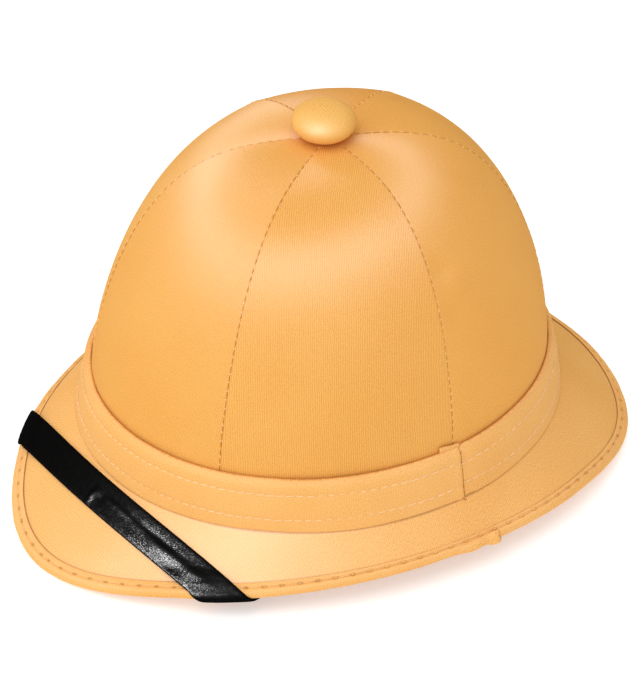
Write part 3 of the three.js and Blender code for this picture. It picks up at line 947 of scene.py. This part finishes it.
def rim_section(radius):
    """The binding's section: distances in from the rim, and heights above the brim's top face."""
    over = np.linspace(BINDING_WIDTH, RIM_RADIUS, RIM_POINTS["over"])
    under = np.linspace(RIM_RADIUS, BINDING_WIDTH, RIM_POINTS["under"])
    turn = np.linspace(np.pi / 2, -np.pi / 2, RIM_POINTS["round"])[1:-1]
    back = np.concatenate([over, RIM_RADIUS - radius * np.cos(turn), under])
    rise = radius * np.concatenate([np.ones_like(over), np.sin(turn), -np.ones_like(under)])
    return back, rise - BRIM_THICKNESS / 2


def rim_places():
    """Angles evenly spaced along the rim, and the distance along it to each."""
    angles = even_angles(lambda angle: brim_point(angle, brim_slope(angle)[0], 0 * angle), RIM_STEP)[:-1]
    return angles, np.arange(len(angles)) * RIM_STEP


def binding_sink(angle, back):
    """How far the tape's flat part sinks from the roll of the edge to its inner edge."""
    step = EDGE_STEP + (EDGE_STEP_OPEN - EDGE_STEP) * edge_open(angle)
    return (RIM_RADIUS - BRIM_THICKNESS / 2 - step) * smooth(2.6, tape_width(angle), back)


def make_binding(angles, travel, material):
    width = brim_slope(angles)[0][:, None]
    section = rim_section(RIM_RADIUS)
    angle = np.repeat(angles[:, None], len(section[0]), axis=1)
    stretch = (tape_width(angle) - RIM_RADIUS) / (BINDING_WIDTH - RIM_RADIUS)

    def skin(distance, height):
        distance = np.where(distance > RIM_RADIUS, RIM_RADIUS + (distance - RIM_RADIUS) * stretch, distance)
        return brim_point(angle, width - distance, height[None] + 0 * angle), distance

    outer, back = skin(*section)
    inner = skin(*rim_section(RIM_RADIUS - BINDING_THICKNESS))[0]
    out = unit(outer - inner)
    phase = ((travel / HOLE_PITCH) % 1.0 - 0.5)[:, None] * HOLE_PITCH
    holes = bell(phase, 0, HOLE["along"]) * bell(back, HOLE_INSET, HOLE["across"])
    crease = bell(back, HOLE_INSET, HOLE_CREASE["spread"])
    lip = bell(back, tape_width(angle), TAPE_LIP["spread"])
    relief = -binding_sink(angle, back) - HOLE_CREASE["depth"] * crease
    relief = relief - HOLE["depth"] * holes - TAPE_LIP["depth"] * lip
    relief = relief + unevenness(outer, BINDING_WAVES)
    outer = outer + out * relief[..., None]
    floor = -RING_HEIGHT
    outer[..., 2] = np.maximum(outer[..., 2], floor)
    inner[..., 2] = np.maximum(inner[..., 2], floor + 0.3)
    on_top = (section[1] > -BRIM_THICKNESS / 2)[None]
    # Painted shade in the needle holes and in the crease along them, on the binding's top only
    shade = side_painted_shade(HOLE_PAINTED_SHADE, angle) * holes + side_painted_shade(CREASE_PAINTED_SHADE, angle) * crease
    painted_shade = np.where(on_top, np.minimum(shade, DARKEST_PAINTED_SHADE), 0.0)
    girth = np.cumsum(np.hypot(*(np.diff(part, prepend=part[0]) for part in section)))
    weave = grid(travel, girth)
    replaces = ("brim_binding",)
    return shell("binding", outer, inner, True, material, weave, painted_shade, replaces=replaces)


def make_binding_stitches(angles, travel, material):
    """Thread lying between the needle holes of the binding."""
    length = travel[-1]
    sink = STITCHES["binding_stitches"]["sink"]
    holes = np.arange(HOLE_PITCH / 2, length, HOLE_PITCH)
    next_holes = np.append(holes[1:], holes[0] + length)

    def angle_at(distance):
        return np.interp(distance % length, travel, angles)

    def seat(angle):
        width = brim_slope(angle)[0]
        above = RIM_RADIUS - BRIM_THICKNESS / 2 - binding_sink(angle, HOLE_INSET) - sink
        return brim_point(angle, width - HOLE_INSET, above)

    first, last = seat(angle_at(holes + HOLE_MARGIN)), seat(angle_at(next_holes - HOLE_MARGIN))
    normals = brim_normal(angle_at((holes + next_holes) / 2))
    return threads("binding_stitches", np.stack([first, last, normals], axis=1), material)


def make_binding_end(material):
    """The binding's loose overlapped end on the wearer's left: a thicker fold with a raw edge."""
    share = np.linspace(0, 1, BINDING_END_ROWS)
    span = math.degrees(BINDING_END_LENGTH / RIM_SIDE_RADIUS)
    angles = BINDING_END_ANGLE - span * (1 - share)
    turn = np.linspace(BINDING_END_WRAP, -BINDING_END_WRAP, BINDING_END_TURNS)
    width = brim_slope(angles)[0]
    middle = -BRIM_THICKNESS / 2
    # It swells, is pinched by a stitch, swells again and is rounded off at its raw edge
    swell = RIM_RADIUS + 0.1 + 1.0 * smooth(0.0, 0.4, share) - 0.5 * bell(share, 0.68, 0.12)
    swell = swell + 1.0 * smooth(0.7, 0.9, share) - 1.2 * smooth(0.93, 1.0, share) ** 2

    def skin(grow):
        radius = (swell + grow)[:, None]
        down = (width - RIM_RADIUS)[:, None] + radius * np.cos(turn)[None]
        above = middle + radius * np.sin(turn)[None] * 0.92
        ragged = 0.7 * np.sin(3.0 * turn + 0.7) + 0.35 * np.sin(8.0 * turn)
        skew = angles[:, None] + (share[:, None] ** 6) * np.degrees(ragged[None] / RIM_SIDE_RADIUS)
        return brim_point(skew, down, above)

    outer, inner = skin(0.0), skin(-BINDING_END_THICKNESS)
    rough = unevenness(outer, BINDING_END_WAVES) * share[:, None]
    push = unit(outer - inner) * rough[..., None]
    weave = grid(share * BINDING_END_LENGTH, turn * RIM_RADIUS)
    # Painted shade at the raw end
    painted_shade = BINDING_END_PAINTED_SHADE * smooth(0.97, 1.0, share)[:, None] * np.ones((1, BINDING_END_TURNS))
    outer, inner = outer + push, inner + push
    return shell("binding_end", outer, inner, False, material, weave, painted_shade, inner_painted_shade=1.0)


# Strap

STRAP_STATIONS = 150
STRAP_WRAP_STATIONS = 24
STRAP_TAIL_STATIONS = 20
STRAP_COLUMNS = 31
STRAP_CORE = 0.25
STRAP_EDGE_SQUARENESS = 10
STRAP_EDGE_SHARE = 0.35
STRAP_DEEPEST = -0.6
STRAP_WAVES = ((0.08, 6, 61),)
RING_SEARCH_STEPS = 24
REACH_SEARCH_STEPS = 30

# Wrinkles on the strap's top: distance along it from its middle and share across it, with its
# spread along and across in millimetres and its height
WRINKLES = (
    {"along": -1.0, "across": 0.16, "spread": 1.6, "narrow": 3.2, "height": 1.0},
    {"along": 4.0, "across": 0.02, "spread": 2.2, "narrow": 2.4, "height": -0.45},
    {"along": 15.0, "across": -0.06, "spread": 12.0, "narrow": 1.5, "height": 0.4},
    {"along": 34.0, "across": -0.12, "spread": 18.0, "narrow": 1.3, "height": -0.45},
    {"along": 45.0, "across": 0.06, "spread": 9.0, "narrow": 3.2, "height": 0.9},
    {"along": 58.0, "across": 0.0, "spread": 6.0, "narrow": 2.8, "height": 0.7},
    {"along": 67.0, "across": 0.05, "spread": 2.0, "narrow": 4.5, "height": 0.5},
)


def ring_place(x, y):
    """The angle round the hat, and the level distance out from the band ring, of plan points."""
    turn = np.arctan2(x / RING[0], -y / RING[1])
    for step in range(RING_SEARCH_STEPS):
        along_x, along_y = RING[0] * np.cos(turn), RING[1] * np.sin(turn)
        off_x, off_y = x - RING[0] * np.sin(turn), y + RING[1] * np.cos(turn)
        turn = turn + (off_x * along_x + off_y * along_y) / (along_x ** 2 + along_y ** 2)
    angle = np.degrees(turn)
    offset = np.stack([x, y, 0 * x], -1) - oval_point(RING, angle, 0.0)
    return angle, (offset * ring_normal(angle)).sum(-1)


def strap_top_place(along, across):
    """Angle, distance down the slope and brim width where a strap point lies on the brim's top."""
    y = STRAP_FRONT_Y + STRAP_SWEEP_BACK * along * along
    lean_x, lean_y = 2 * STRAP_SWEEP_BACK * along, -np.ones_like(along)
    length = np.hypot(lean_x, lean_y)
    aside = across * STRAP_PLAN_WIDTH / length
    angle, out = ring_place(along + lean_x * aside, y + lean_y * aside)
    width, cos, sin = brim_slope(angle)
    return angle, out / cos, width


def strap_reach(across):
    """The sideways place at which one line of the strap reaches the rounded edge."""
    inside, outside = 0.0, RING[0]
    for step in range(REACH_SEARCH_STEPS):
        middle = (inside + outside) / 2
        angle, down, width = strap_top_place(np.array((middle,)), across)
        if down[0] < width[0] - RIM_RADIUS:
            inside = middle
        else:
            outside = middle
    return inside


def strap_half_line(across):
    """Places along one line of the strap, from the front's middle to its hidden end: angle,
    distance down the slope, height above the top face, and the direction square to the strap."""
    reach = strap_reach(across)
    bow = RIM_RADIUS + STRAP_LIFT
    middle = -BRIM_THICKNESS / 2
    angle, down, width = strap_top_place(np.linspace(0, reach, STRAP_STATIONS), across)
    start = width - BINDING_WIDTH
    above = STRAP_LIFT + (middle + bow - STRAP_LIFT) * smooth(start - BINDING_WIDTH, start, down)
    top = np.stack([angle, down, above, 0 * angle, 0 * angle + 1], -1)
    turn = np.linspace(0, np.pi, STRAP_WRAP_STATIONS)[1:]
    wrap_angle = angle[-1] + np.degrees(turn * bow / RING[1])
    wrap_down = brim_slope(wrap_angle)[0] - RIM_RADIUS + bow * np.sin(turn)
    wrap = np.stack([wrap_angle, wrap_down, middle + bow * np.cos(turn), np.sin(turn), np.cos(turn)], -1)
    travel = np.linspace(0, STRAP_TAIL, STRAP_TAIL_STATIONS)[1:]
    tail_angle = wrap_angle[-1] + np.degrees(travel / RING[1])
    tail_down = brim_slope(tail_angle)[0] - RIM_RADIUS - travel
    tail = np.stack([tail_angle, tail_down, 0 * travel + middle - bow, 0 * travel, 0 * travel - 1], -1)
    return np.concatenate([top, wrap, tail])


def strap_wrinkles(along, across):
    """Raised and sunken creases of the strap's upper face."""
    relief = np.zeros_like(along)
    for fold in WRINKLES:
        aside = (across - fold["across"]) * STRAP_WIDTH
        fall = bell(along, fold["along"], fold["spread"]) * bell(aside, 0, fold["narrow"])
        relief += fold["height"] * fall
    return relief


def make_strap(material):
    shares = np.linspace(-0.5, 0.5, STRAP_COLUMNS)
    half = np.stack([strap_half_line(share) for share in shares], axis=1)
    other = half[1:][::-1] * (-1, 1, 1, 1, 1)
    places = np.concatenate([other, half])
    angle, down, above, outward, upward = (places[..., k] for k in range(5))
    base = brim_point(angle, down, above)
    thick = brim_point(angle, down + outward, above + upward) - base
    along = travelled(base[:, STRAP_COLUMNS // 2])
    along = (along - along[len(other)])[:, None] * np.ones((1, STRAP_COLUMNS))
    across = shares[None] * np.ones_like(along)
    edge = np.sqrt(np.maximum(1 - (2 * np.abs(across)) ** STRAP_EDGE_SQUARENESS, 0.0))
    on_top = smooth(0.6, 1.0, upward)
    relief = on_top * strap_wrinkles(along, across) + unevenness(base, STRAP_WAVES)
    padding = STRAP_THICKNESS - STRAP_CORE + np.maximum(relief, STRAP_DEEPEST) * edge
    height = STRAP_CORE + padding * (STRAP_EDGE_SHARE + (1 - STRAP_EDGE_SHARE) * edge)
    outer = base + thick * height[..., None]
    weave = np.stack([along, across * STRAP_WIDTH], -1)
    return shell("strap", outer, base, False, material, weave, replaces=("front_strap",))


# Stage

def heading(azimuth, elevation):
    """The direction so many degrees round from the front and so many up."""
    around, up = math.radians(azimuth), math.radians(elevation)
    return Vector((math.sin(around) * math.cos(up), -math.cos(around) * math.cos(up), math.sin(up)))


def make_camera():
    azimuth, roll = math.radians(CAMERA_AZIMUTH), math.radians(CAMERA_ROLL)
    back = heading(CAMERA_AZIMUTH, CAMERA_ELEVATION)
    right = Vector((math.cos(azimuth), math.sin(azimuth), 0))
    up = back.cross(right)
    right, up = (right * math.cos(roll) + up * math.sin(roll), up * math.cos(roll) - right * math.sin(roll))
    data = bpy.data.cameras.new("camera")
    data.sensor_fit = "VERTICAL"
    data.sensor_height = SENSOR
    data.lens = SENSOR * PIXELS_PER_MM * CAMERA_DISTANCE / FRAME_HEIGHT
    camera = bpy.data.objects.new("camera", data)
    place = Vector(placed([CAMERA_AIM])[0]) + back * CAMERA_DISTANCE * MM
    turn = Matrix((right, up, back)).transposed().to_4x4()
    camera.matrix_world = Matrix.Translation(place) @ turn
    bpy.context.scene.collection.objects.link(camera)
    bpy.context.scene.camera = camera


def make_floor():
    nodes = Nodes(bpy.data.materials.new("pale_floor"))
    shade = (FLOOR_SHADE, FLOOR_SHADE, FLOOR_SHADE, 1)
    glow = {"Emission Color": (1, 1, 1, 1), "Emission Strength": FLOOR_GLOW}
    nodes.dress({"Base Color": shade, "Roughness": 1.0, **glow})
    mesh = bpy.data.meshes.new("floor")
    corners = [(x * FLOOR_REACH, y * FLOOR_REACH, 0) for x, y in ((-1, -1), (1, -1), (1, 1), (-1, 1))]
    mesh.from_pydata(corners, [], [(0, 1, 2, 3)])
    mesh.materials.append(nodes.owner)
    floor = bpy.data.objects.new("floor", mesh)
    bpy.context.scene.collection.objects.link(floor)


# Lights that only bring out the cloth's and the strap's shine: degrees round from the front, degrees
# up, width in metres and power in watts, with their distance in metres and the height they point at
LIGHTS = (
    {"name": "key_gloss", "azimuth": 30, "elevation": 42, "width": 0.9, "power": 1350},
    {"name": "strap_gloss", "azimuth": 12, "elevation": 20, "width": 0.6, "power": 1700},
    {"name": "left_gloss", "azimuth": -92, "elevation": 27, "width": 0.9, "power": 850},
)
LIGHT_DISTANCE = 2.0
LIGHT_AIM = Vector((0, 0, 0.09))
FLOOR_REACH = 6.0
FLOOR_SHADE = 0.78
FLOOR_GLOW = 0.42

# The studio's walls are brightest at the front, a little to the wearer's left, and darkest opposite,
# with soft lamps that fade out from their middles
WALL_AZIMUTH = 26
WALL_ELEVATION = 30
WALL_DARK = 0.25
WALL_BRIGHT = 0.67
SOFT_LAMPS = (
    {"azimuth": 0, "elevation": 42, "strength": 0.74},
    {"azimuth": 30, "elevation": 70, "strength": 2.1},
)
SOFT_LAMP_FADE = 8


def make_lights():
    for light in LIGHTS:
        data = bpy.data.lights.new(light["name"], "AREA")
        data.shape = "DISK"
        data.size = light["width"]
        data.energy = light["power"]
        lamp = bpy.data.objects.new(light["name"], data)
        away = heading(light["azimuth"], light["elevation"])
        lamp.location = LIGHT_AIM + away * LIGHT_DISTANCE
        lamp.rotation_euler = away.to_track_quat("Z", "Y").to_euler()
        lamp.visible_diffuse = False
        bpy.context.scene.collection.objects.link(lamp)


def aim(light, pieces, state="INCLUDE"):
    """Let one of the lights reach only some pieces, or all but them."""
    group = bpy.data.collections.new(light + "_pieces")
    for piece in pieces:
        group.objects.link(piece)
    for member in group.collection_objects:
        member.light_linking.link_state = state
    bpy.data.objects[light].light_linking.receiver_collection = group


def make_walls():
    world = bpy.data.worlds.new("studio")
    nodes = Nodes(world)
    place = nodes.add("ShaderNodeTexCoord").outputs["Generated"]

    def facing(azimuth, elevation):
        inputs = {0: place, 1: heading(azimuth, elevation)}
        return nodes.add("ShaderNodeVectorMath", inputs, operation="DOT_PRODUCT").outputs["Value"]

    slope, middle = (WALL_BRIGHT - WALL_DARK) / 2, (WALL_BRIGHT + WALL_DARK) / 2
    level = nodes.math("MULTIPLY", facing(WALL_AZIMUTH, WALL_ELEVATION), slope)
    level = nodes.math("ADD", level, middle)
    for lamp in SOFT_LAMPS:
        glow = nodes.math("MAXIMUM", facing(lamp["azimuth"], lamp["elevation"]), 0.0)
        glow = nodes.math("POWER", glow, SOFT_LAMP_FADE)
        level = nodes.math("ADD", level, nodes.math("MULTIPLY", glow, lamp["strength"]))
    background = nodes.tree.nodes["Background"].inputs
    nodes.put((1, 1, 1, 1), background["Color"])
    nodes.put(level, background["Strength"])
    bpy.context.scene.world = world


make_camera()
make_floor()
make_lights()
make_walls()
bpy.context.scene.view_settings.view_transform = "Standard"

# Each gore's tone, and how far its ribs tilt and how clearly they show
GORES = (
    {"place": "front", "tone": CLOTH, "tilt": -6, "ribs": 0.9},
    {"place": "front_left", "tone": CLOTH, "tilt": 0, "ribs": 1.0},
    {"place": "back_left", "tone": CLOTH, "tilt": 4, "ribs": 0.5},
    {"place": "back", "tone": CLOTH, "tilt": -3, "ribs": 0.7},
    # Painted shade: this gore is given a deeper tone where it faces away from the light
    {"place": "back_right", "tone": CLOTH_PAINTED_SHADE, "tilt": 5, "ribs": 0.8},
    # Painted sheen: this gore is given a paler tone for its satin highlight
    {"place": "front_right", "tone": CLOTH_PAINTED_SHEEN, "tilt": -4, "ribs": 0.7},
)
GORE_WEAVE = {"pitch": 0.7, "gloss": 0.004, "stretch": 0.52, "straight": True}
pale_thread = thread("pale_thread", THREAD_PALE)
gold_thread = thread("gold_thread", THREAD_GOLD)
tan_thread = thread("tan_thread", THREAD_TAN)
shaded_brown_thread = thread("shaded_brown_thread", SHADED_THREAD_BROWN)
trim_cloth = cloth("trim_cloth", TRIM, rib_angle=45, pitch=0.9)
gores = []
for number, gore in enumerate(GORES):
    weave = {"rib_angle": gore["tilt"], "rib_share": gore["ribs"], **GORE_WEAVE}
    material = cloth("gore_cloth_" + gore["place"], gore["tone"], **weave)
    gores.append(make_gore(gore["place"], number, material))
aim("left_gloss", gores)
make_seam_stitches(shaded_brown_thread, gold_thread)
button_weave = {"rib_angle": 8, "pitch": 0.85, "rib_share": 0.45, "gloss": 0.0064, "stretch": 0.0}
make_button(cloth("button_cloth", BUTTON, **button_weave))
make_band(cloth("band_cloth", TRIM, pitch=0.7, rib_share=0.3))
make_band_stitches(pale_thread)
make_join_stitches(shaded_brown_thread)
make_band_tab(trim_cloth)
brim_weave = {"pitch": 0.95, "rib_share": 0.35, "gloss": 0.0056, "stretch": 0.0}
make_brim(cloth("brim_cloth", BRIM, **brim_weave))
rim_angles, rim_travel = rim_places()
make_binding(rim_angles, rim_travel, cloth("binding_cloth", TRIM, pitch=1.0))
make_binding_stitches(rim_angles, rim_travel, tan_thread)
make_binding_end(trim_cloth)
strap = make_strap(leather("black_leather"))
aim("strap_gloss", [strap])
aim("key_gloss", [strap], "EXCLUDE")
